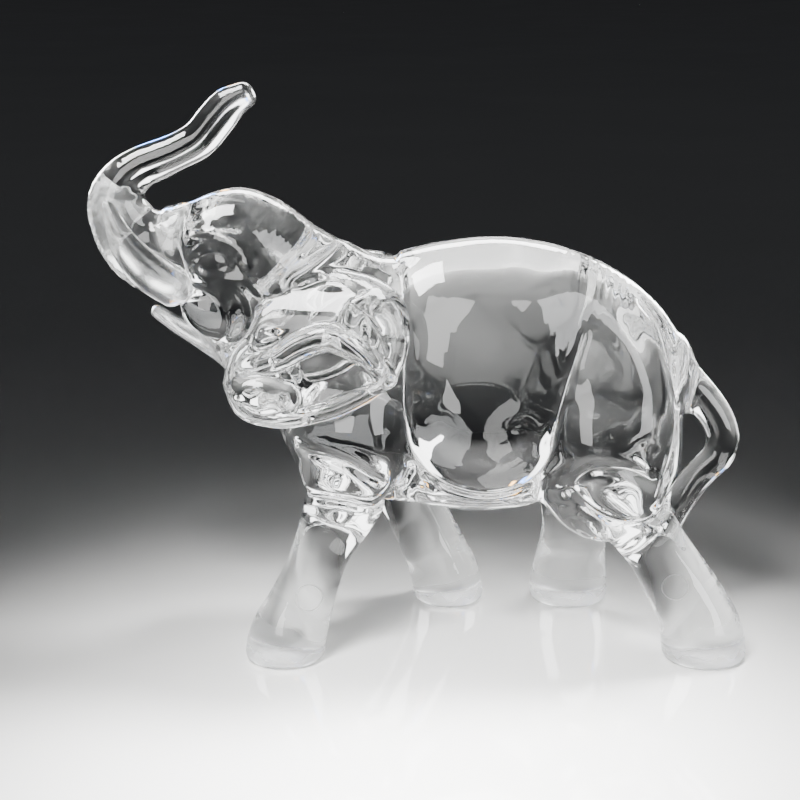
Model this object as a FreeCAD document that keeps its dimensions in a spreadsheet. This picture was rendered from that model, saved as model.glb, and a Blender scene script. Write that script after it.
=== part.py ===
"""Glass elephant figurine, walking, with its trunk raised.

Frame: millimetres, +Z up, the head towards -X, the figure's left side towards -Y.  The origin is the middle
of the bounding box, on the plane that the four soles stand on.

Every piece is a loft through elliptical sections.  A section is one row of SECTIONS:
    x, y, z   its centre
    long      its half size across the spine, in the plane of the figure (or along X on a level section)
    wide      its other half size, towards Y (or the thickness of an ear)
    turn      the direction of the spine there, in degrees from +X towards +Z (on an ear: its flare about +Z)
The rows go into the spreadsheet, and each ellipse reads its own cells.
"""
import FreeCAD, Part
import os

UPRIGHT = "upright"    # section across a spine that lies in a plane y = constant
LEVEL = "level"        # section in a plane z = constant, as on a leg
FLARED = "flared"      # level section turned about +Z, as on an ear

LEFT, RIGHT = -1, 1    # sign of Y on each side of the figure

# Driving dimensions that several pieces share.
SIZES = {
    "front_seat": 20.0,      # height of the bonded joint between a front leg and the torso
    "rear_seat": 18.0,       # height of the bonded joint between a rear leg and the torso
    "track": 10.3,           # centre of a foot from the middle plane
    "sole_round": 0.7,       # rounding round each sole
    "tip_round": 1.2,        # rounding at the end of the trunk
    "tusk_round": 0.75,      # rounding at the point of a tusk
}

SECTIONS = {
    # The barrel of the body, from the chest to the rump.
    "barrel": (UPRIGHT, [
        (-14.0, 0, 33.5, 11.5, 9.0, 0),
        (-7.0, 0, 33.3, 15.0, 11.8, 0),
        (4.0, 0, 33.3, 16.6, 13.2, 0),
        (14.0, 0, 33.0, 16.5, 13.2, 0),
        (22.0, 0, 31.8, 14.6, 11.8, 0),
        (28.0, 0, 30.3, 11.2, 9.0, 0),
        (31.4, 0, 29.4, 7.6, 5.6, 0),
    ]),
    # The neck, from its bonded joint with the head back into the barrel.
    "neck_root": (UPRIGHT, [
        (-12.5, 0, 39.0, 11.6, 9.3, -23),
        (-8.0, 0, 36.6, 12.6, 10.2, -18),
        (-2.0, 0, 34.5, 13.0, 11.0, -10),
    ]),
    # The head, from the face where the trunk joins it, back to the neck.
    "head": (UPRIGHT, [
        (-31.0, 0, 49.0, 6.0, 5.0, -28),
        (-27.6, 0, 48.1, 7.6, 6.9, -15),
        (-22.8, 0, 46.6, 10.4, 8.8, -10),
        (-17.2, 0, 43.2, 10.9, 9.0, -20),
        (-12.5, 0, 39.0, 11.6, 9.3, -23),
    ]),
    # The trunk, from the face down to the bend, then up to its tip.
    "trunk": (UPRIGHT, [
        (-31.0, 0, 49.0, 6.0, 5.0, 152),
        (-34.2, 0, 50.4, 4.9, 4.4, 144),
        (-36.4, 0, 52.9, 3.9, 3.7, 112),
        (-36.7, 0, 56.1, 3.4, 3.2, 72),
        (-34.6, 0, 58.9, 2.8, 2.8, 35),
        (-31.5, 0, 60.4, 2.4, 2.4, 22),
        (-28.5, 0, 61.6, 2.3, 2.3, 28),
        (-26.1, 0, 63.5, 2.2, 2.2, 46),
        (-24.0, 0, 65.9, 2.15, 2.15, 46),
        (-21.3, 0, 68.0, 1.7, 1.7, 30),
    ]),
    # The left tusk: a horn that follows the outside of the trunk's bend.
    "tusk": (UPRIGHT, [
        (-25.6, -5.2, 44.4, 2.3, 2.2, 176),
        (-28.6, -6.0, 45.0, 2.4, 2.3, 158),
        (-32.4, -6.3, 47.2, 2.15, 2.1, 142),
        (-35.7, -5.8, 50.8, 1.7, 1.6, 124),
        (-37.5, -4.9, 55.0, 0.9, 0.9, 104),
    ]),
    # The lower lip: a shallow tongue under the mouth.
    "lip": (UPRIGHT, [
        (-22.6, 0, 37.6, 1.5, 3.9, 154),
        (-26.6, 0, 37.4, 1.4, 3.6, 148),
        (-30.2, 0, 39.7, 1.05, 2.7, 146),
        (-33.0, 0, 41.8, 0.7, 1.5, 144),
    ]),
    # The left ear: a thin leaf, turned out at its rear edge and bent in to the neck at its top.
    "ear": (FLARED, [
        (-17.8, -11.0, 29.8, 2.2, 0.6, -14),
        (-17.6, -11.1, 31.2, 5.2, 0.95, -14),
        (-15.2, -11.3, 34.4, 8.8, 1.15, -14),
        (-13.0, -11.5, 38.2, 10.1, 1.25, -15),
        (-11.5, -11.3, 42.0, 9.3, 1.3, -15),
        (-10.5, -10.2, 45.2, 7.4, 1.3, -14),
        (-10.2, -9.0, 47.2, 5.0, 1.15, -14),
        (-10.1, -8.4, 48.4, 2.3, 0.8, -14),
    ]),
    # The tail: out from the rump, round its loop, and down to the tuft beside the left thigh.
    "tail": (UPRIGHT, [
        (28.8, 0.0, 36.9, 2.7, 2.5, -46),
        (32.2, 0.0, 33.6, 2.35, 2.2, -46),
        (35.3, -0.2, 30.2, 2.15, 2.0, -50),
        (37.6, -0.4, 27.2, 2.15, 1.9, -66),
        (38.3, -0.7, 24.4, 2.1, 1.9, -94),
        (37.2, -1.0, 21.9, 1.95, 1.8, -130),
        (35.3, -1.4, 20.1, 1.85, 1.75, -130),
        (33.7, -1.9, 17.4, 2.0, 1.7, -112),
        (32.9, -2.3, 14.6, 1.5, 1.3, -100),
        (32.6, -2.5, 12.0, 0.6, 0.55, -94),
    ]),
}

# Each leg, from its sole up to the joint with the torso, as level sections: x, z, long and wide.
LEG_SECTIONS = {
    "leg_front_left": [
        (-17.2, 0.0, 4.9, 4.7), (-16.9, 2.4, 5.1, 4.9), (-15.8, 6.2, 4.9, 4.5),
        (-14.2, 10.6, 4.4, 4.1), (-12.6, 14.6, 4.4, 4.2), (-10.2, None, 5.9, 5.0),
    ],
    "leg_front_right": [
        (3.9, 0.0, 4.7, 4.5), (3.8, 2.4, 4.9, 4.7), (2.6, 6.2, 4.7, 4.4),
        (0.6, 10.6, 4.5, 4.1), (-1.6, 14.6, 4.7, 4.2), (-4.6, None, 5.9, 5.0),
    ],
    "leg_rear_left": [
        (34.8, 0.0, 5.3, 5.0), (34.6, 2.4, 5.5, 5.2), (33.4, 6.4, 5.3, 4.7),
        (31.0, 10.6, 4.9, 4.3), (28.2, 14.6, 5.3, 4.6), (25.6, None, 6.6, 5.4),
    ],
    "leg_rear_right": [
        (20.3, 0.0, 5.1, 4.9), (20.3, 2.4, 5.3, 5.1), (20.8, 6.4, 4.7, 4.6),
        (20.9, 10.6, 4.5, 4.3), (20.9, 14.6, 5.2, 4.6), (21.4, None, 6.4, 5.4),
    ],
}

# The root of each leg inside the torso, above its joint: x, y, z, long and wide.
ROOT_SECTIONS = {
    "leg_front_left": [(-9.4, 8.5, 24.5, 6.4, 4.9), (-7.4, 5.6, 34.0, 5.0, 3.6)],
    "leg_front_right": [(-5.4, 8.5, 24.5, 6.4, 4.9), (-6.4, 5.6, 34.0, 5.0, 3.6)],
    "leg_rear_left": [(23.8, 8.3, 23.0, 7.2, 5.0), (20.0, 5.4, 33.0, 5.6, 3.8)],
    "leg_rear_right": [(21.6, 8.3, 23.0, 7.2, 5.0), (19.6, 5.4, 33.0, 5.6, 3.8)],
}

CELLS = ("x", "y", "z", "long", "wide", "turn")

doc = FreeCAD.newDocument("elephant_figurine")
sheet = doc.addObject("Spreadsheet::Sheet", "Sizes")
next_row = 1


def put(alias, value):
    """One named cell of the sheet."""
    global next_row
    sheet.set(f"A{next_row}", alias)
    sheet.set(f"B{next_row}", str(value))
    sheet.setAlias(f"B{next_row}", alias)
    next_row += 1


def section(name, kind, row, long_is_major):
    """One ellipse whose size and place come from its own cells."""
    for cell, value in zip(CELLS, row):
        put(f"{name}_{cell}", value)
    ellipse = doc.addObject("Part::Ellipse", name)
    ellipse.setExpression("MajorRadius", f"Sizes.{name}_{'long' if long_is_major else 'wide'}")
    ellipse.setExpression("MinorRadius", f"Sizes.{name}_{'wide' if long_is_major else 'long'}")
    centre = f"vector(Sizes.{name}_x; Sizes.{name}_y; Sizes.{name}_z)"
    if kind == UPRIGHT:
        half = f"(45 + Sizes.{name}_turn / 2)"
        across = f"rotation(vector(cos({half}); 0; sin({half})); 180)"
        if not long_is_major:
            across += " * rotation(vector(0; 0; 1); -90)"
        ellipse.setExpression("Placement", f"placement({centre}; {across})")
    else:
        about_z = f"rotation(vector(0; 0; 1); Sizes.{name}_turn)"
        ellipse.setExpression("Placement", f"placement({centre}; {about_z})")
    return ellipse


def loft(name, kind, rows):
    """A solid through elliptical sections, smooth from end to end."""
    long_is_major = all(row[3] >= row[4] for row in rows)
    made = doc.addObject("Part::Loft", name)
    made.Sections = [section(f"{name}_{i}", kind, row, long_is_major) for i, row in enumerate(rows)]
    made.Solid = True
    made.Ruled = False
    made.MaxDegree = 3
    return made


def on_side(side, kind, rows):
    """Sections of the left side as they are, or mirrored onto the right side."""
    if side == LEFT:
        return rows
    flip = -1 if kind == FLARED else 1
    return [(x, -y, z, long, wide, flip * turn) for x, y, z, long, wide, turn in rows]


def boolean(kind, name, base, tool):
    made = doc.addObject(kind, name)
    made.Base, made.Tool = base, tool
    return made


def finished(node, made):
    """Marks a sub-part: its Label is its node's name."""
    made.Label = node
    pieces[node] = made
    return made


def rounded(name, base, radius_cell, wanted):
    """A fillet on the edges for which wanted(edge) is true."""
    doc.recompute()
    radius = sheet.get(radius_cell)
    made = doc.addObject("Part::Fillet", name)
    made.Base = base
    made.Edges = [(i + 1, radius, radius) for i, edge in enumerate(base.Shape.Edges) if wanted(edge)]
    return made


def is_sole(edge):
    return edge.BoundBox.ZMax < 0.01


def end_at(x):
    """Picks the closed edge round a loft's end face whose centre is at x."""
    def wanted(edge):
        flat = Part.Face(Part.Wire([edge])) if edge.isClosed() else None
        return flat is not None and abs(flat.CenterOfMass.x - x) < 0.3
    return wanted


def leg_rows(node, side):
    """Level sections of one leg, with its last one on the joint's plane."""
    seat = SIZES["front_seat"] if "front" in node else SIZES["rear_seat"]
    track = SIZES["track"]
    top_y = track - 0.8
    rows = []
    for x, z, long, wide in LEG_SECTIONS[node]:
        z = seat if z is None else z
        y = track + (top_y - track) * z / seat
        rows.append((x, side * y, z, long, wide, 0))
    return rows


pieces = {}
for alias, value in SIZES.items():
    put(alias, value)

# The torso: barrel, neck and the roots of the legs, cut back to the face that the head is bonded to.
head = loft("head_raw", *SECTIONS["head"])
torso = boolean("Part::Fuse", "barrel_and_neck", loft("barrel", *SECTIONS["barrel"]),
                loft("neck_root", *SECTIONS["neck_root"]))
for node in LEG_SECTIONS:
    side = LEFT if "left" in node else RIGHT
    above = [(x, side * y, z, long, wide, 0) for x, y, z, long, wide in ROOT_SECTIONS[node]]
    root = loft(f"{node}_root", LEVEL, [leg_rows(node, side)[-1]] + above)
    torso = boolean("Part::Fuse", f"torso_with_{node}", torso, root)
torso = finished("torso", boolean("Part::Cut", "torso_cut_at_neck", torso, head))
finished("head", head)

# The legs, each cut back to the torso.
for node in LEG_SECTIONS:
    leg = loft(f"{node}_raw", LEVEL, leg_rows(node, LEFT if "left" in node else RIGHT))
    soled = rounded(f"{node}_soled", leg, "sole_round", is_sole)
    finished(node, boolean("Part::Cut", f"{node}_seated", soled, torso))

# The trunk.
trunk_kind, trunk_rows = SECTIONS["trunk"]
trunk_raw = loft("trunk_raw", trunk_kind, trunk_rows)
trunk = finished("trunk", rounded("trunk_rounded", trunk_raw, "tip_round", end_at(trunk_rows[-1][0])))

# Tusks and ears, each cut back to the pieces that carry it.
for side, word in ((LEFT, "left"), (RIGHT, "right")):
    kind, rows = SECTIONS["tusk"]
    rows = on_side(side, kind, rows)
    horn = rounded(f"tusk_{word}_point", loft(f"tusk_{word}_raw", kind, rows), "tusk_round", end_at(rows[-1][0]))
    off_head = boolean("Part::Cut", f"tusk_{word}_off_head", horn, head)
    finished(f"tusk_{word}", boolean("Part::Cut", f"tusk_{word}_seated", off_head, trunk))
    kind, rows = SECTIONS["ear"]
    leaf = loft(f"ear_{word}_raw", kind, on_side(side, kind, rows))
    finished(f"ear_{word}", boolean("Part::Cut", f"ear_{word}_seated", leaf, head))

lip = loft("lip_raw", *SECTIONS["lip"])
finished("lower_lip", boolean("Part::Cut", "lip_seated", lip, head))

# The tail.
tail = loft("tail_raw", *SECTIONS["tail"])
finished("tail", boolean("Part::Cut", "tail_seated", tail, torso))

doc.recompute()
for obj in doc.Objects:
    if {"Invalid", "Error"} & set(obj.State):
        raise RuntimeError(f"{obj.Name} did not build: {obj.State}")

os.makedirs("parts", exist_ok=True)
for node, made in sorted(pieces.items()):
    shape = made.Shape
    if shape.isNull() or not shape.isValid():
        raise RuntimeError(f"{node} is not a valid shape")
    print(f"{node}: {len(shape.Solids)} solid, {shape.Volume:.0f} mm3, box {shape.BoundBox}")
    shape.exportStep(f"parts/{node}.step")
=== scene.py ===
"""Glass elephant figurine: meshes, glass, floor, lights and camera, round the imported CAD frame.

The glass is sculpted as one signed-distance field in millimetres, in the frame of the CAD model: +Z up,
the head towards -X, the figure's left side towards -Y.  The field is then divided into one closed mesh for
each CAD node.  Neighbouring meshes share the faces of their bonded joint, which are clear, so the glass
reads as continuous.
"""
import math

import bpy
import numpy as np
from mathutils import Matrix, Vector

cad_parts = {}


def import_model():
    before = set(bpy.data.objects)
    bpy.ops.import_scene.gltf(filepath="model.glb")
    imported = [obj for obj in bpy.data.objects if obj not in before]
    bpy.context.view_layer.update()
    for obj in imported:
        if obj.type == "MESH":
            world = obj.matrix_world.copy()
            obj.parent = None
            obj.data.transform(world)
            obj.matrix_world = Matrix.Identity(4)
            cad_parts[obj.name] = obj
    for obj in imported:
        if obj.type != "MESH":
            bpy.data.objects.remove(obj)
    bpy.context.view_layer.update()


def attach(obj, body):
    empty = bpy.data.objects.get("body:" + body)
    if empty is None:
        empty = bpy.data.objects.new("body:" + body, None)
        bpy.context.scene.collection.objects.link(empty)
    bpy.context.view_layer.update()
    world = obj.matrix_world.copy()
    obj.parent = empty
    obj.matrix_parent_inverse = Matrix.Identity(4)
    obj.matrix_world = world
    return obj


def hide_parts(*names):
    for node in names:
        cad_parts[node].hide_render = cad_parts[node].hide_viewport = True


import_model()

MM = 0.001
LEFT, RIGHT = -1, 1             # sign of Y on each side of the figure
SIDES = ((LEFT, "left"), (RIGHT, "right"))

STEP = 0.3      # mm between the points of the grid
REACH = 3.0                     # mm outside its surface that a field is worked out
FAR = 9.0                       # value of a field where no glass is near
LOW = (-44.0, -18.5, -2.2)      # corners of the grid, in mm
HIGH = (44.0, 18.5, 73.0)

# ----------------------------------------------------------------------------------------------------
# Sections of the bent solids: x, y, z, half height across the spine, half width.  Where the figure has two
# of a solid, these are the left one's.
# ----------------------------------------------------------------------------------------------------
BARREL = [
    (-10, 0, 33.6, 13.6, 9.8), (-4, 0, 32.6, 15.2, 11.0), (4, 0, 33.3, 16.8, 12.1),
    (11, 0, 33.4, 17.0, 12.1), (17, 0, 32.3, 16.1, 11.4), (22.5, 0, 30.4, 14.1, 9.8),
    (27, 0, 28.4, 11.3, 7.8),
]
NECK = [
    (-30, 0, 49.8, 5.0, 4.8), (-26.2, 0, 48.6, 6.6, 6.4), (-21.5, 0, 46.0, 9.1, 8.4),
    (-16.0, 0, 41.2, 11.1, 9.2), (-10.5, 0, 37.5, 11.8, 9.6), (-4, 0, 35.0, 12.6, 10.2),
]
TRUNK = [
    (-29.5, 0, 48.6, 6.0, 5.2), (-32.2, 0, 48.9, 5.6, 4.8), (-34.4, 0, 49.8, 4.9, 4.3),
    (-36.3, 0, 52.0, 4.15, 3.8), (-37.1, 0, 55.3, 3.55, 3.3), (-35.9, 0, 57.8, 2.85, 3.0),
    (-34.2, 0, 59.1, 2.55, 2.7), (-32.0, 0, 60.05, 2.4, 2.5), (-29.4, 0, 61.15, 2.3, 2.4),
    (-27.0, 0, 62.55, 2.3, 2.3), (-24.8, 0, 65.1, 2.3, 2.3), (-23.2, 0, 66.8, 2.1, 2.2),
    (-21.3, 0, 67.9, 1.6, 1.9),
]
LIP = [
    (-23.5, 0, 35.9, 1.7, 4.0), (-27.0, 0, 37.8, 1.15, 3.4), (-30.2, 0, 39.6, 0.9, 2.6),
    (-32.8, 0, 41.4, 0.75, 1.7),
]
TUSK = [
    (-30.0, -6.0, 45.5, 2.3, 2.2), (-32.4, -6.3, 47.2, 2.3, 2.2), (-35.6, -5.9, 50.7, 1.8, 1.7),
    (-37.5, -4.9, 55.0, 0.8, 0.8),
]
TAIL = [
    (27.3, 0.0, 38.0, 3.0, 2.8), (29.7, 0.0, 35.8, 2.6, 2.4), (32.2, 0.0, 33.2, 2.4, 2.2),
    (34.9, -0.2, 30.4, 2.2, 2.0), (36.8, -0.4, 27.8, 2.15, 1.95), (37.6, -0.7, 25.2, 2.1, 1.9),
    (37.0, -0.9, 23.0, 2.0, 1.9), (35.2, -1.2, 21.2, 1.9, 1.8), (33.5, -1.6, 19.2, 1.95, 1.85),
    (32.3, -2.0, 16.6, 1.6, 1.6), (31.4, -2.4, 13.2, 0.7, 0.65),
]
# Legs, from inside the torso down through the sole: x, z, half length, half width.
LEGS = {
    "leg_front_left": [
        (-7.6, 28, 6.2, 4.6), (-9.2, 22, 5.6, 4.8), (-10.5, 18, 4.5, 4.5), (-12.1, 14.4, 3.65, 4.1),
        (-13.7, 10.2, 3.6, 4.0), (-15.3, 6, 4.2, 4.4), (-16.6, 2.6, 4.8, 4.9), (-17.1, 0, 4.8, 4.9),
        (-17.3, -2.5, 4.3, 4.4),
    ],
    "leg_front_right": [
        (-6.2, 28, 6.2, 4.6), (-5.1, 22, 5.8, 4.8), (-3.5, 18, 4.7, 4.5), (-1.8, 14.4, 4.1, 4.1),
        (0.3, 10.2, 4.0, 4.0), (2.2, 6, 4.3, 4.4), (3.4, 2.6, 4.6, 4.8), (3.7, 0, 4.6, 4.8),
        (3.8, -2.5, 4.1, 4.3),
    ],
    "leg_rear_left": [
        (21.3, 27, 6.8, 5.0), (24.3, 20.5, 5.4, 5.0), (26.5, 17, 4.3, 4.7), (28.5, 14, 3.9, 4.4),
        (30.9, 10.2, 4.2, 4.2), (33.2, 6.2, 4.6, 4.6), (34.5, 2.6, 5.1, 5.1), (34.8, 0, 5.1, 5.1),
        (34.9, -2.5, 4.6, 4.6),
    ],
    "leg_rear_right": [
        (20.3, 27, 7.0, 5.0), (20.8, 20.5, 6.1, 5.0), (20.6, 17, 5.3, 4.8), (20.4, 14, 4.7, 4.5),
        (20.3, 10.2, 4.3, 4.2), (20.0, 6.2, 4.6, 4.6), (19.7, 2.6, 5.1, 5.0), (19.7, 0, 5.1, 5.0),
        (19.7, -2.5, 4.6, 4.5),
    ],
}
# Ellipsoids that round the bent solids out: middle (x, distance out, z), radii, turn in degrees, and blend.
MASSES = (
    ((6.8, 3.2, 28.0), (12.6, 10.3, 10.6), 0, 2.4),         # belly
    ((21.2, 5.2, 28.4), (9.8, 7.5, 15.2), 10, 1.0),         # haunch
    ((24.4, 5.0, 27.8), (7.0, 7.0, 13.0), 10, 2.0),         # thigh
    ((-8.6, 5.8, 29.0), (6.6, 6.2, 12.4), -10, 2.4),        # shoulder
)
FACE = (
    ((-25.1, 4.9, 42.4), (4.3, 2.9, 3.3), -22, 0.4),        # cheek
    ((-25.1, 5.8, 48.9), (1.0, 0.75, 0.7), -38, 0.4),       # eyeball
)
FOREHEAD = ((-21.9, 0, 50.0), (7.2, 6.9, 6.5), -22, 2.5)
TAIL_WEB = ((32.5, 0, 31.7), (2.4, 1.9, 3.3), 35, 1.0)      # fills the corner between the tail and the rump

TRACK = 10.3                    # mm from the middle plane to a foot
LEG_SPLAY = 0.04                # mm that a leg comes in towards the middle for each mm up
SEAT = {"front": 20.0, "rear": 18.0}    # height of the bonded joint between a leg and the torso

# The CAD nodes: those that are cut from the body, then those that are bonded on to it.
ATTACHED = ("ear_left", "ear_right", "tusk_left", "tusk_right", "lower_lip")
NODES = ("torso", "head", "trunk", "tail") + tuple(LEGS) + ATTACHED


def arc(middle, radii, start, end, count=7):
    """Points (x, z) along part of an upright ellipse.  Angles are in degrees, from +X towards +Z."""
    turns = np.radians(np.linspace(start, end, count))
    return [(middle[0] + radii[0] * math.cos(turn), middle[1] + radii[1] * math.sin(turn)) for turn in turns]


# The ear: its outline seen from the side, then the rolls that stiffen it (x, distance out, z, radius).  The
# outline is a round lobe in front, a straight hem, a round rear corner and a rounded top.
EAR_OUTLINE = (
    arc((-18.6, 35.5), (5.1, 5.3), 150, 270) + [(-14.4, 30.9), (-4.4, 35.8)]
    + arc((-7.4, 41.4), (5.1, 5.0), -40, 90) + arc((-13.4, 38.8), (7.6, 8.0), 95, 160)
)
EAR_HALF = 1.25                 # mm, half the thickness of the leaf
EAR_ROLLS = {
    "rim": [
        (-15.8, 5.9, 46.6, 0.8), (-12.6, 5.9, 46.6, 1.1), (-9.4, 6.5, 46.1, 1.6),
        (-6.4, 8.6, 45.3, 2.1), (-4.2, 11.2, 43.9, 2.2), (-3.3, 12.9, 41.6, 1.7),
        (-3.2, 13.5, 38.9, 1.2), (-3.9, 13.9, 36.2, 0.6),
    ],
    "cup": [
        (-5.6, 11.0, 45.4, 0.6), (-7.9, 11.4, 44.6, 0.9), (-9.0, 12.1, 42.4, 0.9),
        (-8.4, 12.9, 40.4, 0.7),
    ],
    "fold": [
        (-22.4, 9.8, 36.4, 0.7), (-19.4, 11.0, 37.3, 1.0), (-17.0, 11.8, 38.3, 1.2),
        (-14.4, 12.4, 40.0, 1.4), (-11.4, 13.0, 41.0, 1.4), (-8.6, 13.5, 39.9, 1.1),
        (-4.0, 14.0, 36.2, 0.6),
    ],
    "hem": [
        (-23.0, 9.6, 34.6, 0.9), (-21.6, 10.0, 31.8, 1.2), (-17.8, 11.4, 30.8, 1.2),
        (-12.6, 12.6, 31.6, 1.0), (-8.0, 13.5, 33.5, 0.9), (-4.0, 14.1, 35.9, 0.6),
    ],
    "lobe": [
        (-21.4, 10.6, 33.8, 1.6), (-19.2, 11.1, 33.5, 2.3), (-16.6, 11.7, 33.4, 1.7),
    ],
}
# Lines of the marks, seen from the side: the groove round the barrel, the back of the haunch, and the ridge
# that arches over the haunch.
BARREL_EDGE = (
    [(-3.0, 50.4), (-2.2, 40.0)] + arc((8.5, 30.3), (10.6, 9.5), 180, 262)
    + arc((8.5, 28.5), (7.3, 7.7), 270, 360) + [(17.1, 34.5), (19.0, 40.6)]
)
HAUNCH_BACK = arc((22.6, 31.0), (7.6, 14.6), 57, -46)
HAUNCH_ARCH = arc((17.0, 29.0), (10.9, 16.2), 108, -2)
# The crease over each leg and the brow above it, from front to back: how far along in half lengths of the
# leg, and mm above the joint.
LEG_CREASE = {
    "front": [(-1.35, 0.2), (-0.6, 1.4), (0.1, 1.2), (0.9, 0.2), (1.35, 1.4), (1.6, 4.0)],
    "rear": [(-1.7, 4.0), (-1.2, 2.0), (-0.5, 0.7), (0.2, 0.8), (0.9, 2.2), (1.5, 3.4)],
}
LEG_BROW = {
    "front": [(-1.0, 6.6), (-0.4, 6.6), (0.15, 6.0), (0.9, 3.4)],
    "rear": [(-2.0, 3.4), (-1.3, 7.2), (-0.3, 7.0), (0.3, 5.2)],
}
# Marks pressed into both sides: depth (below 0 stands proud), half width, how far out from the middle plane
# the mark starts, and its line.
BODY_MARKS = (
    # The barrel and the haunch.
    (0.75, 2.3, 3.5, BARREL_EDGE[:-1]), (0.50, 0.62, 3.5, BARREL_EDGE),
    (0.35, 1.6, 2.5, HAUNCH_BACK), (0.45, 0.60, 2.5, HAUNCH_BACK),
    (0.45, 3.0, 4.0, [(20.3, 36.5), (21.2, 31.5)]),
    (-0.60, 2.3, 4.0, HAUNCH_ARCH),
    # The creases of the neck and the jaw, and the one at the trunk's root.
    (0.35, 0.60, 1.5, [(-10.2, 49.8), (-13.2, 48.2), (-16.0, 46.2), (-15.4, 45.0)]),
    (0.35, 0.55, 3.0, [(-20.5, 46.5), (-18.0, 44.4), (-11.0, 45.5)]),
    (0.40, 0.55, 3.0, arc((-23.6, 42.4), (3.3, 3.8), 55, -85)),
    (0.35, 0.60, 1.5, [(-28.4, 54.4), (-28.9, 51.4), (-28.7, 48.4), (-28.0, 46.2)]),
    # The socket of the eye, its two lids, the brow, and the fold under the eye.
    (0.16, 1.30, 3.0, [(-27.6, 49.4), (-25.4, 49.2), (-23.4, 48.6)]),
    (0.18, 0.40, 3.0, arc((-25.0, 48.6), (1.8, 1.3), 155, -15)),
    (0.12, 0.40, 3.0, arc((-25.0, 48.9), (1.8, 1.1), 170, 320)),
    (-0.24, 0.80, 3.0, arc((-25.4, 48.6), (4.6, 3.3), 125, 5)),
    (-0.12, 0.65, 3.0, [(-28.0, 47.5), (-26.0, 46.6), (-23.4, 47.0)]),
    # The crease along the raised trunk.
    (0.30, 0.50, 0.8, [(row[0], row[2] - 0.5) for row in TRUNK[5:]]),
)
# Bonded joints that are flat: a point on the joint (x, z), and the direction out of the torso's side of it.
NECK_JOINT = ((-12.5, 39.0), 157.0)
TRUNK_JOINT = ((-31.0, 49.0), 152.0)
PIN_MARKS = ((-13.8, 8.9), (30.4, 10.3))    # middles of the rings on the left legs (x, z)
PIN_RADIUS = 1.6                # mm
RING_CORE, RING_EDGE = 0.04, 0.16       # mm from the middle of a ring's line: full, and gone
RING_Y = (-11.8, -11.2)         # mm, where the rings' faces end: they aren't on the right legs
# Frost: the share of full frost, and the heights in mm where it starts and how far it fades.
SOLE_FROST_Z, SOLE_FROST_FADE = 2.3, 1.4
TIP_FROST, TIP_FROST_Z, TIP_FROST_FADE = 0.32, 62.0, 4.0
HORN_FROST = 0.42               # tusks and lip
TRUNK_CLEAR_Z = 57.6            # above this the raised trunk is never part of the head

GLASS_TINT = (0.985, 0.993, 0.99, 1)
GLASS_IOR = 1.53

FLOOR_HALF = 3.0                # m, half the side of the floor
AIR_FILM = 0.05                 # mm of air under the soles, so that no two faces lie in one plane
WORLD_LOW = (0.006, 0.006, 0.007, 1)
WORLD_HIGH = (0.05, 0.052, 0.055, 1)

CAMERA_AIM = (-2.8, 0, 30.0)    # mm
CAMERA_DISTANCE = 236.0         # mm from the aim
CAMERA_RISE = 15                # degrees above the level of the aim
LENS, SENSOR = 85, 36           # mm

# Softboxes: name, aim, turn, rise, distance, size, power, spread, colour and what it lights.  The aim is a
# place on the floor or above it (metres along Y and Z), directions are in degrees and sizes in metres.
# Light linking lets each one reach the floor or the glass alone.  Two overhead make a pool of light on the
# floor, tall ones at the sides make the long reflections, others fill the thick glass, and two small ones
# add flecks of colour.
POOL = (-0.050, 0.0)
FIGURE = (0.0, 0.030)
WHITE = (1.0, 1.0, 1.0)
LIGHTS = (
    ("over_front", POOL, -30, 62, 0.20, (0.07, 0.055), 0.145, 37, WHITE, "floor"),
    ("over_back", POOL, 150, 62, 0.20, (0.07, 0.055), 0.145, 37, WHITE, "floor"),
    ("side_left", FIGURE, -27, 31, 0.50, (0.27, 0.46), 3.9, 180, (1.0, 0.995, 0.985), "glass"),
    ("side_right", FIGURE, 44, 29, 0.50, (0.28, 0.50), 5.0, 180, (0.985, 0.995, 1.0), "glass"),
    ("behind", FIGURE, 180, 36, 0.50, (0.34, 0.12), 4.0, 180, WHITE, "glass"),
    ("low_left", FIGURE, -148, 12, 0.50, (0.16, 0.18), 4.0, 180, WHITE, "glass"),
    ("low_right", FIGURE, 148, 12, 0.50, (0.16, 0.18), 4.0, 180, WHITE, "glass"),
    ("high_left", FIGURE, -92, 65, 0.50, (0.28, 0.28), 14.0, 180, WHITE, "glass"),
    ("fringe_cool", FIGURE, -160, 20, 0.50, (0.030, 0.05), 0.75, 180, (0.12, 0.32, 1.0), "glass"),
    ("fringe_warm", FIGURE, -167, 20, 0.50, (0.020, 0.05), 0.16, 180, (1.0, 0.50, 0.12), "glass"),
)


# ----------------------------------------------------------------------------------------------------
# Signed-distance fields
# ----------------------------------------------------------------------------------------------------
AXES = [np.arange(a, b, STEP, dtype=np.float32) for a, b in zip(LOW, HIGH)]
SHAPE = tuple(len(axis) for axis in AXES)


def window(low, high):
    """Slices of the grid that hold a box, and the coordinates there."""
    parts = []
    for axis, a, b in zip(AXES, low, high):
        first, last = np.searchsorted(axis, (a, b))
        parts.append(slice(max(first - 1, 0), min(last + 1, len(axis))))
    x, y, z = (axis[part] for axis, part in zip(AXES, parts))
    return tuple(parts), x[:, None, None], y[None, :, None], z[None, None, :]


def empty_field():
    return np.full(SHAPE, FAR, np.float32)


def smooth_min(a, b, blend):
    """The smaller of two fields, with a fillet where they meet."""
    near = np.maximum(blend - np.abs(a - b), 0) / blend
    return np.minimum(a, b) - near * near * blend / 4


def add(field, made, blend):
    """Joins a piece of a field to a whole field."""
    slices, part = made
    field[slices] = smooth_min(field[slices], part, blend)


def alone(made):
    """A whole field that holds one piece of a field."""
    field = empty_field()
    field[made[0]] = made[1]
    return field


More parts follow.
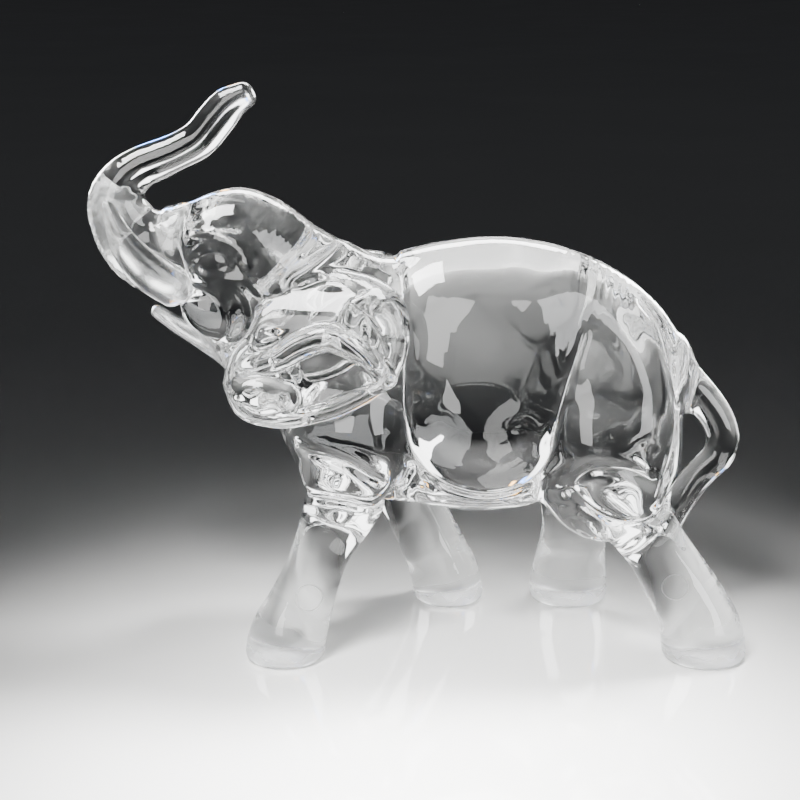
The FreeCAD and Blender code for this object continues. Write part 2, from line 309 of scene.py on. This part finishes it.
def curve(rows, spacing):
    """A smooth curve through rows.  The first three numbers of a row are a place, and the rest go along."""
    rows = np.array(rows, float)
    step = np.linalg.norm(np.diff(rows[:, :3], axis=0), axis=1)
    at = np.concatenate([[0], np.cumsum(step)])
    slope = np.gradient(rows, at, axis=0)
    wanted = np.linspace(0, at[-1], max(6, int(at[-1] / spacing) + 1))
    i = np.clip(np.searchsorted(at, wanted, "right") - 1, 0, len(rows) - 2)
    span = step[i][:, None]
    u = (wanted - at[i])[:, None] / span
    return ((1 + 2 * u) * (1 - u) ** 2 * rows[i] + u * (1 - u) ** 2 * span * slope[i]
            + u * u * (3 - 2 * u) * rows[i + 1] + u * u * (u - 1) * span * slope[i + 1])


def tube(rows, caps=(1.0, 1.0), spacing=0.8):
    """A bent solid with elliptical sections.  caps: how far each end stands out, per half height there."""
    path = curve(rows, spacing)
    place = path[:, :3]
    along = np.gradient(place, axis=0)
    along /= np.linalg.norm(along, axis=1)[:, None]
    side = np.array([0, 1, 0]) - along[:, 1:2] * along
    side /= np.linalg.norm(side, axis=1)[:, None]
    up = np.cross(along, side)
    size = np.maximum(path[:, 3:5], 0.05)
    reach = np.maximum(size.max(1)[:-1], size.max(1)[1:])[:, None] + REACH
    low = np.minimum(place[:-1], place[1:]) - reach
    high = np.maximum(place[:-1], place[1:]) + reach
    slices, gx, gy, gz = window(low.min(0), high.max(0))
    shape = np.broadcast_shapes(gx.shape, gy.shape, gz.shape)
    nearest = np.full(shape, np.inf, np.float32)
    where = np.zeros(shape, np.float32)
    for i in range(len(place) - 1):
        a, run = place[i], place[i + 1] - place[i]
        part, x, y, z = window(low[i], high[i])
        part = tuple(slice(p.start - s.start, p.stop - s.start) for p, s in zip(part, slices))
        share = ((x - a[0]) * run[0] + (y - a[1]) * run[1] + (z - a[2]) * run[2]) / (run @ run)
        share = np.clip(share, 0, 1).astype(np.float32)
        gap = sum((c - start - share * go) ** 2 for c, start, go in zip((x, y, z), a, run))
        closer = gap < nearest[part]
        where[part] = np.where(closer, i + share, where[part])
        nearest[part] = np.where(closer, gap, nearest[part])
    i = np.minimum(where.astype(np.int32), len(place) - 2)
    share = where - i

    def mixed(values):
        values = values.astype(np.float32)
        return values[i] + (values[i + 1] - values[i]) * share

    offset = [c - mixed(place[:, n]) for n, c in enumerate((gx, gy, gz))]
    high_half, wide_half = mixed(size[:, 0]), mixed(size[:, 1])
    cap = np.where(where <= 0, caps[0], np.where(where >= len(place) - 1, caps[1], 1)) * high_half
    ratios = []
    for axis, half in ((up, high_half), (side, wide_half), (along, cap)):
        ratios.append((sum(d * mixed(axis[:, n]) for n, d in enumerate(offset)), half))
    return slices, np.where(np.isfinite(nearest), elliptic(ratios, np.minimum(high_half, wide_half)), FAR)


def elliptic(ratios, smallest):
    """Distance to an ellipsoid, about.  ratios: an offset and a radius for each of its axes."""
    k0 = np.sqrt(sum((offset / radius) ** 2 for offset, radius in ratios))
    k1 = np.sqrt(sum((offset / radius ** 2) ** 2 for offset, radius in ratios)) + 1e-6
    deep = 0.3
    field = np.where(k0 < deep, (k0 - 1) * smallest, k0 * (k0 - 1) / k1)
    return np.minimum(field, FAR).astype(np.float32)


def ball(centre, radii, turn=0.0):
    """An ellipsoid, turned in the upright plane."""
    reach = max(radii) + REACH
    slices, x, y, z = window([c - reach for c in centre], [c + reach for c in centre])
    x, y, z = x - centre[0], y - centre[1], z - centre[2]
    c, s = math.cos(math.radians(turn)), math.sin(math.radians(turn))
    ratios = [(c * x + s * z, radii[0]), (y, radii[1]), (c * z - s * x, radii[2])]
    return slices, elliptic(ratios, min(radii))


def distance_to(path):
    """Distance in the upright plane from a chain of points, for every x and z of the grid."""
    x, z = AXES[0][:, None], AXES[2][None, :]
    best = np.full((SHAPE[0], SHAPE[2]), np.inf, np.float32)
    for a, b in zip(path[:-1], path[1:]):
        run = b - a
        share = np.clip(((x - a[0]) * run[0] + (z - a[1]) * run[1]) / max(run @ run, 1e-9), 0, 1)
        best = np.minimum(best, (x - a[0] - share * run[0]) ** 2 + (z - a[1] - share * run[1]) ** 2)
    return np.sqrt(best)


def smooth_line(points, spacing=0.6):
    return curve([(x, 0, z) for x, z in points], spacing)[:, (0, 2)]


def press(field, marks, side=0):
    """Presses marks into both sides of a field, or into one."""
    for depth, width, out, points in marks:
        reach = 2.4 * width
        low = (min(x for x, _ in points) - reach, LOW[1], min(z for _, z in points) - reach)
        high = (max(x for x, _ in points) + reach, HIGH[1], max(z for _, z in points) + reach)
        slices, _, y, _ = window(low, high)
        away = distance_to(smooth_line(points))[slices[0], slices[2]][:, None, :]
        start = np.clip((np.abs(y) - out + 1) / 1.5, 0, 1) * (side * y >= 0)
        field[slices] += depth * np.exp(-(away / width) ** 2) * start * start * (3 - 2 * start)


def closed_outline(points):
    """Signed distance in the upright plane to a closed smooth outline."""
    path = smooth_line(points[-2:] + points + points[:3])
    first = np.argmin(np.linalg.norm(path[:len(path) // 3] - points[0], axis=1))
    last = len(path) // 2 + np.argmin(np.linalg.norm(path[len(path) // 2:] - points[0], axis=1))
    path = np.concatenate([path[first:last], path[first:first + 1]])
    x, z = AXES[0][:, None], AXES[2][None, :]
    inside = np.zeros((SHAPE[0], SHAPE[2]), bool)
    for a, b in zip(path[:-1], path[1:]):
        if a[1] != b[1]:
            inside ^= ((a[1] > z) != (b[1] > z)) & (x < a[0] + (z - a[1]) * (b[0] - a[0]) / (b[1] - a[1]))
    return np.where(inside, -1, 1) * distance_to(path)


def leg_marks(name, rows):
    """The crease where the leg joins the torso, the brow above it, and the flat down its outer face."""
    end = "front" if "front" in name else "rear"
    down = [row[1] for row in rows][::-1]
    x0, half = (np.interp(SEAT[end], down, [row[n] for row in rows][::-1]) for n in (0, 2))
    crease = [(x0 + along * half, SEAT[end] + up) for along, up in LEG_CREASE[end]]
    brow = [(x0 + along * half, SEAT[end] + up) for along, up in LEG_BROW[end]]
    flat = [(row[0], row[1]) for row in rows if 3 < row[1] < 19]
    return (
        (0.40, 0.70, 5.0, brow),
        (0.30, 1.6, 5.0, crease),
        (0.42, 0.60, 5.0, crease),
        (0.38, 1.5, 10.0, flat),
    )


def undulation():
    """The gentle waves that fire polishing leaves on cast glass, in mm."""
    x, y, z = AXES[0][:, None, None], AXES[1][None, :, None], AXES[2][None, None, :]
    return (0.012 * np.sin(0.63 * x + 0.91 * z + 0.4) * np.cos(0.57 * y - 0.35 * x)
            + 0.007 * np.sin(0.97 * z - 0.51 * x + 0.8 * y) + 0.004 * np.cos(1.3 * x + 0.7 * y + 0.9 * z))


def mirrored(rows, side):
    """Rows of the left side, or their mirror image."""
    return [(row[0], -side * row[1]) + tuple(row[2:]) for row in rows]


# ----------------------------------------------------------------------------------------------------
# The sculpture
# ----------------------------------------------------------------------------------------------------
def ear_field(side):
    """A cupped leaf with a rolled rim, a fold across it and a rolled hem."""
    flat = closed_outline(EAR_OUTLINE)
    low = (-27, -18.5 if side == LEFT else 4, 27)
    high = (1, -4 if side == LEFT else 18.5, 55)
    slices, x, y, z = window(low, high)
    # How far out the leaf lies: cupped along its length, bent in at its top, and hollow in two places.
    lift = 11.0 + 0.20 * (x + 13) + 0.05 * (40 - z) + 0.006 * (x + 13) ** 2
    lift = lift - 0.19 * np.maximum(z - 41.5, 0) ** 2
    lift = lift - 1.1 * np.exp(-((x + 5.9) ** 2 / 5 + (z - 41.6) ** 2 / 12))
    lift = lift - 0.7 * np.exp(-((x + 11.0) ** 2 / 16 + (z - 35.8) ** 2 / 9))
    inward = np.maximum(flat[slices[0], slices[2]][:, None, :] + EAR_HALF, 0)
    ear = alone((slices, np.sqrt(inward ** 2 + (side * y - lift) ** 2) - EAR_HALF))
    for rows in EAR_ROLLS.values():
        add(ear, tube([(x, side * out, z, r, r) for x, out, z, r in rows]), 0.7)
    return ear


def add_ball(field, row, side=1):
    """Joins an ellipsoid, written as in MASSES, to a whole field."""
    (x, out, z), radii, turn, blend = row
    add(field, ball((x, side * out, z), radii, turn), blend)


def sculpt():
    """The field of the whole figure, and those of its pieces on their own."""
    torso = empty_field()
    add(torso, tube(BARREL, caps=(0.6, 0.46)), 0.1)
    for side, _ in SIDES:
        for row in MASSES:
            add_ball(torso, row, side)
    add(torso, tube(NECK, caps=(0.6, 0.3)), 2.5)
    add_ball(torso, FOREHEAD)
    own = {"torso": torso}
    body = torso.copy()
    for node, rows in LEGS.items():
        side = LEFT if "left" in node else RIGHT
        made = tube([(x, side * (TRACK - LEG_SPLAY * max(z, 0)), z, a, b) for x, z, a, b in rows])
        own[node] = alone(made)
        add(body, made, 1.8)
    for node, rows, caps, blend in (("trunk", TRUNK, (0.5, 0.7), 1.6), ("tail", TAIL, (0.5, 1.3), 1.2)):
        made = tube(rows, caps=caps)
        own[node] = alone(made)
        add(body, made, blend)
    add_ball(body, TAIL_WEB)
    for side, _ in SIDES:
        for row in FACE:
            add_ball(body, row, side)
    press(body, BODY_MARKS)
    for name, rows in LEGS.items():
        press(body, leg_marks(name, rows), LEFT if "left" in name else RIGHT)
    body += undulation()
    whole = body.copy()
    own["lower_lip"] = alone(tube(LIP, caps=(0.5, 0.9)))
    for side, word in SIDES:
        own["ear_" + word] = ear_field(side)
        own["tusk_" + word] = alone(tube(mirrored(TUSK, side), caps=(0.9, 1.2)))
    for node in ATTACHED:
        whole = smooth_min(whole, own[node], 0.5)
    whole = -smooth_min(-whole, AXES[2][None, None, :], 1.0)
    return whole, body, own


def beyond(joint):
    """Distance past a flat joint, for every point of the grid."""
    (x0, z0), turn = joint
    x, z = AXES[0][:, None, None], AXES[2][None, None, :]
    return (x - x0) * math.cos(math.radians(turn)) + (z - z0) * math.sin(math.radians(turn))


def divide(whole, body, own):
    """The piece that each point of the grid belongs to: 0 is air, and NODES[n - 1] is n."""
    code = {node: n + 1 for n, node in enumerate(NODES)}
    z = AXES[2][None, None, :]
    owner = np.full(SHAPE, code["torso"], np.int8)
    owner[np.broadcast_to(beyond(NECK_JOINT) > 0, SHAPE)] = code["head"]
    raised = (z > TRUNK_CLEAR_Z) & (own["trunk"] < own["torso"])
    owner[np.where(z > TRUNK_CLEAR_Z, raised, beyond(TRUNK_JOINT) > 0)] = code["trunk"]
    legs = np.minimum.reduce([own[node] for node in LEGS])
    for node in LEGS:
        seat = SEAT["front" if "front" in node else "rear"]
        owner[(z < seat) & (own[node] < own["torso"]) & (own[node] <= legs)] = code[node]
    owner[own["tail"] < np.minimum(own["torso"], legs)] = code["tail"]
    outside_body = body > 0
    nearest = np.minimum.reduce([own[node] for node in ATTACHED])
    for node in ATTACHED:
        owner[outside_body & (own[node] <= nearest) & (own[node] < body)] = code[node]
    owner[whole >= 0] = 0
    return owner


# ----------------------------------------------------------------------------------------------------
# Meshes from the fields
# ----------------------------------------------------------------------------------------------------
SURFACE_ROUNDS = 3              # times that the outer surface is relaxed
SETTLE_ROUNDS = 2               # moves back on to the field after each of those
JOINT_ROUNDS = 30               # times that the faces of the bonded joints are relaxed
EASE = 0.6                      # share of the way that a point moves in one round


def sample(field, places):
    """Values of a field between the points of the grid."""
    at = (places - np.array([axis[0] for axis in AXES])) / STEP
    cell = np.clip(at.astype(int), 0, np.array(SHAPE) - 2)
    part = at - cell
    total = 0
    for corner in np.ndindex(2, 2, 2):
        weight = np.prod(np.where(corner, part, 1 - part), axis=1)
        total = total + weight * field[tuple((cell + corner).T)]
    return total


def slope(field, places):
    """Gradient of a field at places."""
    reach = STEP
    pairs = []
    for n in range(3):
        go = np.zeros(3)
        go[n] = reach
        pairs.append((sample(field, places + go) - sample(field, places - go)) / (2 * reach))
    return np.stack(pairs, axis=1)


def relaxed(places, quads, movable, rounds):
    """Moves points towards the middle of their neighbours."""
    ends = np.concatenate([quads[:, (n, (n + 1) % 4)] for n in range(4)])
    ends = ends[movable[ends[:, 0]] | movable[ends[:, 1]]]
    for _ in range(rounds):
        total, count = np.zeros_like(places), np.zeros(len(places))
        for a, b in ((0, 1), (1, 0)):
            np.add.at(total, ends[:, a], places[ends[:, b]])
            np.add.at(count, ends[:, a], 1)
        middle = total[movable] / np.maximum(count[movable], 1)[:, None]
        places[movable] += EASE * (middle - places[movable])
    return places


def skin(whole, owner):
    """Points, their normals, and quads with the owners on both sides, for every surface and joint."""
    cells = tuple(n - 1 for n in SHAPE)
    corners = list(np.ndindex(2, 2, 2))
    first = owner[:-1, :-1, :-1]
    mixed = np.zeros(cells, bool)
    for i, j, k in corners[1:]:
        mixed |= owner[i:i + cells[0], j:j + cells[1], k:k + cells[2]] != first
    used = np.argwhere(mixed)
    number = np.full(cells, -1, np.int32)
    number[mixed] = np.arange(len(used))
    values = np.stack([whole[tuple((used + c).T)] for c in corners], axis=1)
    total, count = np.zeros((len(used), 3)), np.zeros(len(used))
    pairs = [(a, b) for a in range(8) for b in range(a + 1, 8)]
    for a, b in pairs:
        go = np.subtract(corners[b], corners[a])
        if np.abs(go).sum() != 1:
            continue
        fa, fb = values[:, a], values[:, b]
        crosses = (fa < 0) != (fb < 0)
        share = np.where(crosses, fa / np.where(crosses, fa - fb, 1), 0)[:, None]
        total += np.where(crosses[:, None], np.array(corners[a]) + share * go, 0)
        count += crosses
    outer = count > 0
    places = np.where(outer[:, None], total / np.maximum(count, 1)[:, None], 0.5)
    places = (used + places) * STEP + np.array([axis[0] for axis in AXES])

    quads, sides = [], []
    for axis in range(3):
        one = [slice(None)] * 3
        two = [slice(None)] * 3
        one[axis], two[axis] = slice(None, -1), slice(1, None)
        edge = np.argwhere(owner[tuple(one)] != owner[tuple(two)])
        edge = edge[(np.delete(edge, axis, 1) > 0).all(1)]
        j, k = (axis + 1) % 3, (axis + 2) % 3
        ring = []
        for dj, dk in ((-1, -1), (0, -1), (0, 0), (-1, 0)):
            cell = edge.copy()
            cell[:, j] += dj
            cell[:, k] += dk
            ring.append(number[tuple(np.minimum(cell, np.array(cells) - 1).T)])
        quads.append(np.stack(ring, axis=1))
        after = edge.copy()
        after[:, axis] += 1
        sides.append(np.stack([owner[tuple(edge.T)], owner[tuple(after.T)]], axis=1))
    quads, sides = np.concatenate(quads), np.concatenate(sides)

    open_air = quads[(sides == 0).any(1)]
    for _ in range(SURFACE_ROUNDS):
        places = relaxed(places, open_air, outer, 1)
        for _ in range(SETTLE_ROUNDS):
            normal = slope(whole, places[outer])
            steep = (normal ** 2).sum(1)
            move = sample(whole, places[outer]) / np.maximum(steep, 0.05)
            places[outer] -= np.clip(move, -STEP, STEP)[:, None] * normal
    places = relaxed(places, quads, ~outer, JOINT_ROUNDS)
    normal = slope(whole, places)
    normal /= np.maximum(np.linalg.norm(normal, axis=1), 1e-6)[:, None]
    return places, normal, quads, sides


def frosting(name, places):
    """How matt the glass is: frosted soles, and a trace on the tusks, the lip and the trunk's tip."""
    x, y, z = places.T
    wander = 0.35 * np.sin(1.9 * x + 0.7 * y) + 0.25 * np.sin(3.1 * y - 1.3 * x)
    frost = np.clip((SOLE_FROST_Z + wander - z) / SOLE_FROST_FADE, 0, 1)
    if "tusk" in name or "lip" in name:
        frost = np.maximum(frost, HORN_FROST)
    if "trunk" in name:
        frost = np.maximum(frost, TIP_FROST * np.clip((z - TIP_FROST_Z) / TIP_FROST_FADE, 0, 1))
    return frost


def piece_mesh(name, code, places, normal, quads, sides):
    """The closed mesh of one piece.  Faces that it shares with a neighbour take the second material."""
    front, back = sides[:, 0] == code, sides[:, 1] == code
    faces = np.concatenate([quads[front], quads[back][:, ::-1]])
    bonded = np.concatenate([sides[front, 1], sides[back, 0]]) != 0
    used, faces = np.unique(faces, return_inverse=True)
    faces = faces.reshape(-1, 4)
    mesh = bpy.data.meshes.new(name)
    mesh.from_pydata((places[used] * MM).tolist(), [], faces.tolist())
    mesh.polygons.foreach_set("material_index", bonded.astype(np.int32))
    mesh.polygons.foreach_set("use_smooth", np.ones(len(faces), bool))
    mesh.update()
    mesh.normals_split_custom_set_from_vertices(normal[used].tolist())
    frost = mesh.attributes.new("frost", "FLOAT", "POINT")
    frost.data.foreach_set("value", frosting(name, places[used]).astype(np.float32))
    return mesh


# ----------------------------------------------------------------------------------------------------
# Materials
# ----------------------------------------------------------------------------------------------------
def node(tree, kind, **values):
    made = tree.nodes.new(kind)
    for key, value in values.items():
        if hasattr(made, key):
            setattr(made, key, value)
        else:
            made.inputs[key.replace("_", " ")].default_value = value
    return made


def ranged(tree, source, low, high, to_low, to_high):
    made = node(tree, "ShaderNodeMapRange")
    for key, value in (("From Min", low), ("From Max", high), ("To Min", to_low), ("To Max", to_high)):
        made.inputs[key].default_value = value
    tree.links.new(source, made.inputs["Value"])
    return made.outputs["Result"]


def maths(tree, operation, a, b):
    made = node(tree, "ShaderNodeMath", operation=operation)
    for slot, value in enumerate((a, b)):
        if isinstance(value, (int, float)):
            made.inputs[slot].default_value = value
        else:
            tree.links.new(value, made.inputs[slot])
    return made.outputs[0]


def noise(tree, vector, scale, detail=2.0, roughness=0.5):
    made = node(tree, "ShaderNodeTexNoise", Scale=scale, Detail=detail, Roughness=roughness)
    tree.links.new(vector, made.inputs["Vector"])
    return made.outputs[0]


def pin_marks(tree, where):
    """Fine rings left by mould pins on the outer faces of the left legs: 1 on a ring, 0 elsewhere."""
    split = node(tree, "ShaderNodeSeparateXYZ")
    tree.links.new(where, split.inputs[0])
    total = None
    for x, z in PIN_MARKS:
        across = maths(tree, "SUBTRACT", split.outputs["X"], x * MM)
        up = maths(tree, "SUBTRACT", split.outputs["Z"], z * MM)
        away = maths(tree, "SQRT", maths(tree, "ADD", maths(tree, "MULTIPLY", across, across),
                                         maths(tree, "MULTIPLY", up, up)), 0)
        off = maths(tree, "ABSOLUTE", maths(tree, "SUBTRACT", away, PIN_RADIUS * MM), 0)
        ring = ranged(tree, off, RING_CORE * MM, RING_EDGE * MM, 1, 0)
        total = ring if total is None else maths(tree, "ADD", total, ring)
    outer_face = ranged(tree, split.outputs["Y"], RING_Y[0] * MM, RING_Y[1] * MM, 1, 0)
    return maths(tree, "MULTIPLY", total, outer_face)


def glass_material():
    """Clear cast glass: faint waves, smears of polish, rings on two legs, and frost where the mesh says."""
    material = bpy.data.materials.new("clear_glass")
    material.use_nodes = True
    tree = material.node_tree
    shader = tree.nodes["Principled BSDF"]
    shader.inputs["Base Color"].default_value = GLASS_TINT
    shader.inputs["IOR"].default_value = GLASS_IOR
    shader.inputs["Transmission Weight"].default_value = 1.0
    where = node(tree, "ShaderNodeTexCoord").outputs["Object"]
    frosted = node(tree, "ShaderNodeAttribute", attribute_name="frost").outputs["Fac"]
    smears = ranged(tree, noise(tree, where, 90, 4, 0.6), 0.5, 0.75, 0.0, 0.035)
    rings = pin_marks(tree, where)
    matt = maths(tree, "ADD", maths(tree, "MULTIPLY", frosted, 0.50), maths(tree, "MULTIPLY", rings, 0.45))
    rough = maths(tree, "ADD", smears, matt)
    tree.links.new(rough, shader.inputs["Roughness"])
    waves = ranged(tree, noise(tree, where, 140, 1), 0.2, 0.8, 0, 1)
    grain = maths(tree, "MULTIPLY", maths(tree, "MULTIPLY", noise(tree, where, 2600, 2), 0.35), frosted)
    bump = node(tree, "ShaderNodeBump", Strength=0.10, Distance=0.0006)
    relief = maths(tree, "SUBTRACT", maths(tree, "ADD", waves, grain), maths(tree, "MULTIPLY", rings, 3.0))
    tree.links.new(relief, bump.inputs["Height"])
    tree.links.new(bump.outputs[0], shader.inputs["Normal"])
    return material


def bond_material():
    """The clear face of a bonded joint, which passes light straight through."""
    material = bpy.data.materials.new("clear_bond")
    material.use_nodes = True
    tree = material.node_tree
    tree.nodes.remove(tree.nodes["Principled BSDF"])
    clear = node(tree, "ShaderNodeBsdfTransparent")
    tree.links.new(clear.outputs[0], tree.nodes["Material Output"].inputs["Surface"])
    return material


def floor_material():
    """Pale, faintly glossy studio surface."""
    material = bpy.data.materials.new("pale_floor")
    material.use_nodes = True
    tree = material.node_tree
    shader = tree.nodes["Principled BSDF"]
    where = node(tree, "ShaderNodeTexCoord").outputs["Object"]
    shade = ranged(tree, noise(tree, where, 9, 3), 0.3, 0.7, 0.70, 0.76)
    tint = node(tree, "ShaderNodeCombineColor")
    for slot, share in enumerate((1.0, 0.995, 0.98)):
        tree.links.new(maths(tree, "MULTIPLY", shade, share), tint.inputs[slot])
    tree.links.new(tint.outputs[0], shader.inputs["Base Color"])
    tree.links.new(ranged(tree, noise(tree, where, 30, 2), 0.3, 0.7, 0.05, 0.09), shader.inputs["Roughness"])
    return material


# ----------------------------------------------------------------------------------------------------
# Stage: floor, lights, world, camera
# ----------------------------------------------------------------------------------------------------
def floor():
    mesh = bpy.data.meshes.new("floor")
    ways = ((-1, -1), (1, -1), (1, 1), (-1, 1))
    corners = [(x * FLOOR_HALF, y * FLOOR_HALF, -AIR_FILM * MM) for x, y in ways]
    mesh.from_pydata(corners, [], [(0, 1, 2, 3)])
    made = bpy.data.objects.new("floor", mesh)
    made.data.materials.append(floor_material())
    bpy.context.scene.collection.objects.link(made)
    return made


def softbox(name, aim, turn, rise, distance, size, power, spread, colour, receivers):
    """A soft area light.  turn: degrees to the camera's right, from above; rise: degrees above the aim."""
    light = bpy.data.lights.new(name, "AREA")
    light.shape = "RECTANGLE"
    light.size, light.size_y = size
    light.energy = power
    light.color = colour
    light.spread = math.radians(spread)
    made = bpy.data.objects.new(name, light)
    turn, rise = math.radians(turn), math.radians(rise)
    away = Vector((math.sin(turn) * math.cos(rise), -math.cos(turn) * math.cos(rise), math.sin(rise)))
    made.location = Vector((0, *aim)) + away * distance
    made.rotation_euler = (-away).to_track_quat("-Z", "Y").to_euler()
    bpy.context.scene.collection.objects.link(made)
    made.light_linking.receiver_collection = receivers


def world():
    made = bpy.data.worlds.new("studio")
    bpy.context.scene.world = made
    made.use_nodes = True
    tree = made.node_tree
    split = node(tree, "ShaderNodeSeparateXYZ")
    tree.links.new(node(tree, "ShaderNodeTexCoord").outputs["Generated"], split.inputs[0])
    ramp = node(tree, "ShaderNodeValToRGB")
    tree.links.new(ranged(tree, split.outputs["Z"], -0.1, 1, 0, 1), ramp.inputs[0])
    ramp.color_ramp.elements[0].color = WORLD_LOW
    ramp.color_ramp.elements[1].color = WORLD_HIGH
    tree.links.new(ramp.outputs[0], tree.nodes["Background"].inputs["Color"])
    tree.nodes["Background"].inputs["Strength"].default_value = 1.0


def camera():
    """Looks along +Y and slightly down at the figure's left side."""
    target = Vector(CAMERA_AIM) * MM
    distance, rise = CAMERA_DISTANCE * MM, math.radians(CAMERA_RISE)
    data = bpy.data.cameras.new("camera")
    data.lens = LENS
    data.sensor_width = SENSOR
    data.clip_start = 0.01
    made = bpy.data.objects.new("camera", data)
    made.location = target + Vector((0, -math.cos(rise), math.sin(rise))) * distance
    made.rotation_euler = (target - made.location).to_track_quat("-Z", "Y").to_euler()
    bpy.context.scene.collection.objects.link(made)
    bpy.context.scene.camera = made


def light_paths():
    """How far light is followed through the thick glass, and how its strongest rays are tamed."""
    cycles = bpy.context.scene.cycles
    cycles.max_bounces = 24
    cycles.transmission_bounces = 24
    cycles.glossy_bounces = 8
    cycles.transparent_max_bounces = 32
    cycles.sample_clamp_indirect = 6
    cycles.blur_glossy = 0.3
    bpy.context.scene.view_settings.view_transform = "AgX"


def main():
    whole, body, own = sculpt()
    owner = divide(whole, body, own)
    surface = skin(whole, owner)
    glass, bond = glass_material(), bond_material()
    receivers = {word: bpy.data.collections.new("lit_" + word) for word in ("glass", "floor")}
    for n, name in enumerate(NODES):
        mesh = piece_mesh("glass_" + name, n + 1, *surface)
        mesh.materials.append(glass)
        mesh.materials.append(bond)
        made = bpy.data.objects.new("glass_" + name, mesh)
        bpy.context.scene.collection.objects.link(made)
        receivers["glass"].objects.link(made)
        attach(made, "root")
        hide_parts(name)
    receivers["floor"].objects.link(floor())
    world()
    for *settings, lit in LIGHTS:
        softbox(*settings, receivers[lit])
    camera()
    light_paths()


main()
